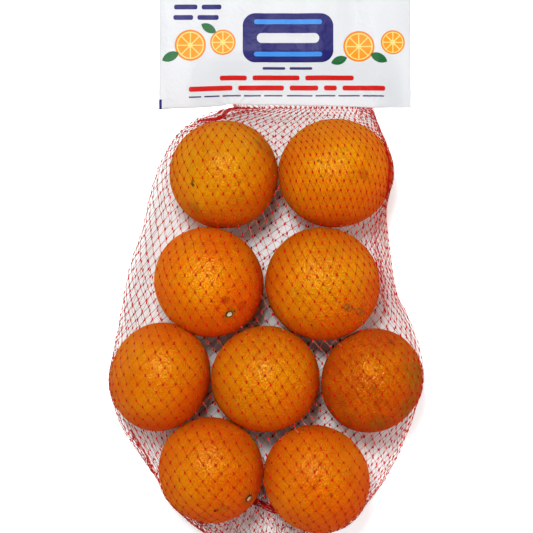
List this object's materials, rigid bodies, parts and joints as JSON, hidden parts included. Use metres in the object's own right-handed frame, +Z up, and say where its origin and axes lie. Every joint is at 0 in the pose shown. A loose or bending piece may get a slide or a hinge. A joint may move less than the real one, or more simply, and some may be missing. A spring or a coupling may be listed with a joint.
{
  "type": "net of oranges",
  "caption": "Whole oranges in one layer in a knotted red mesh bag that lies flat, closed by a white film header label along its top edge.",
  "frame": {"origin": "middle of the bag's footprint, on the surface it lies on", "axes": "+X across the bag, +Y along it towards the header label, +Z up out of the side that is shown"},
  "size_m": [0.2166, 0.4118, 0.0786],
  "materials": {
    "orange_peel": "satin, dimpled citrus peel",
    "net_strand": "thin translucent plastic strands with solid knots",
    "header_film": "glossy white film with flat printed fields of colour",
    "stem_end": "dry, matte button left where the stalk was"
  },
  "bodies": {
    "root": {"net_bag": "orange_peel", "header_label": "header_film"}
  },
  "joints": []
}
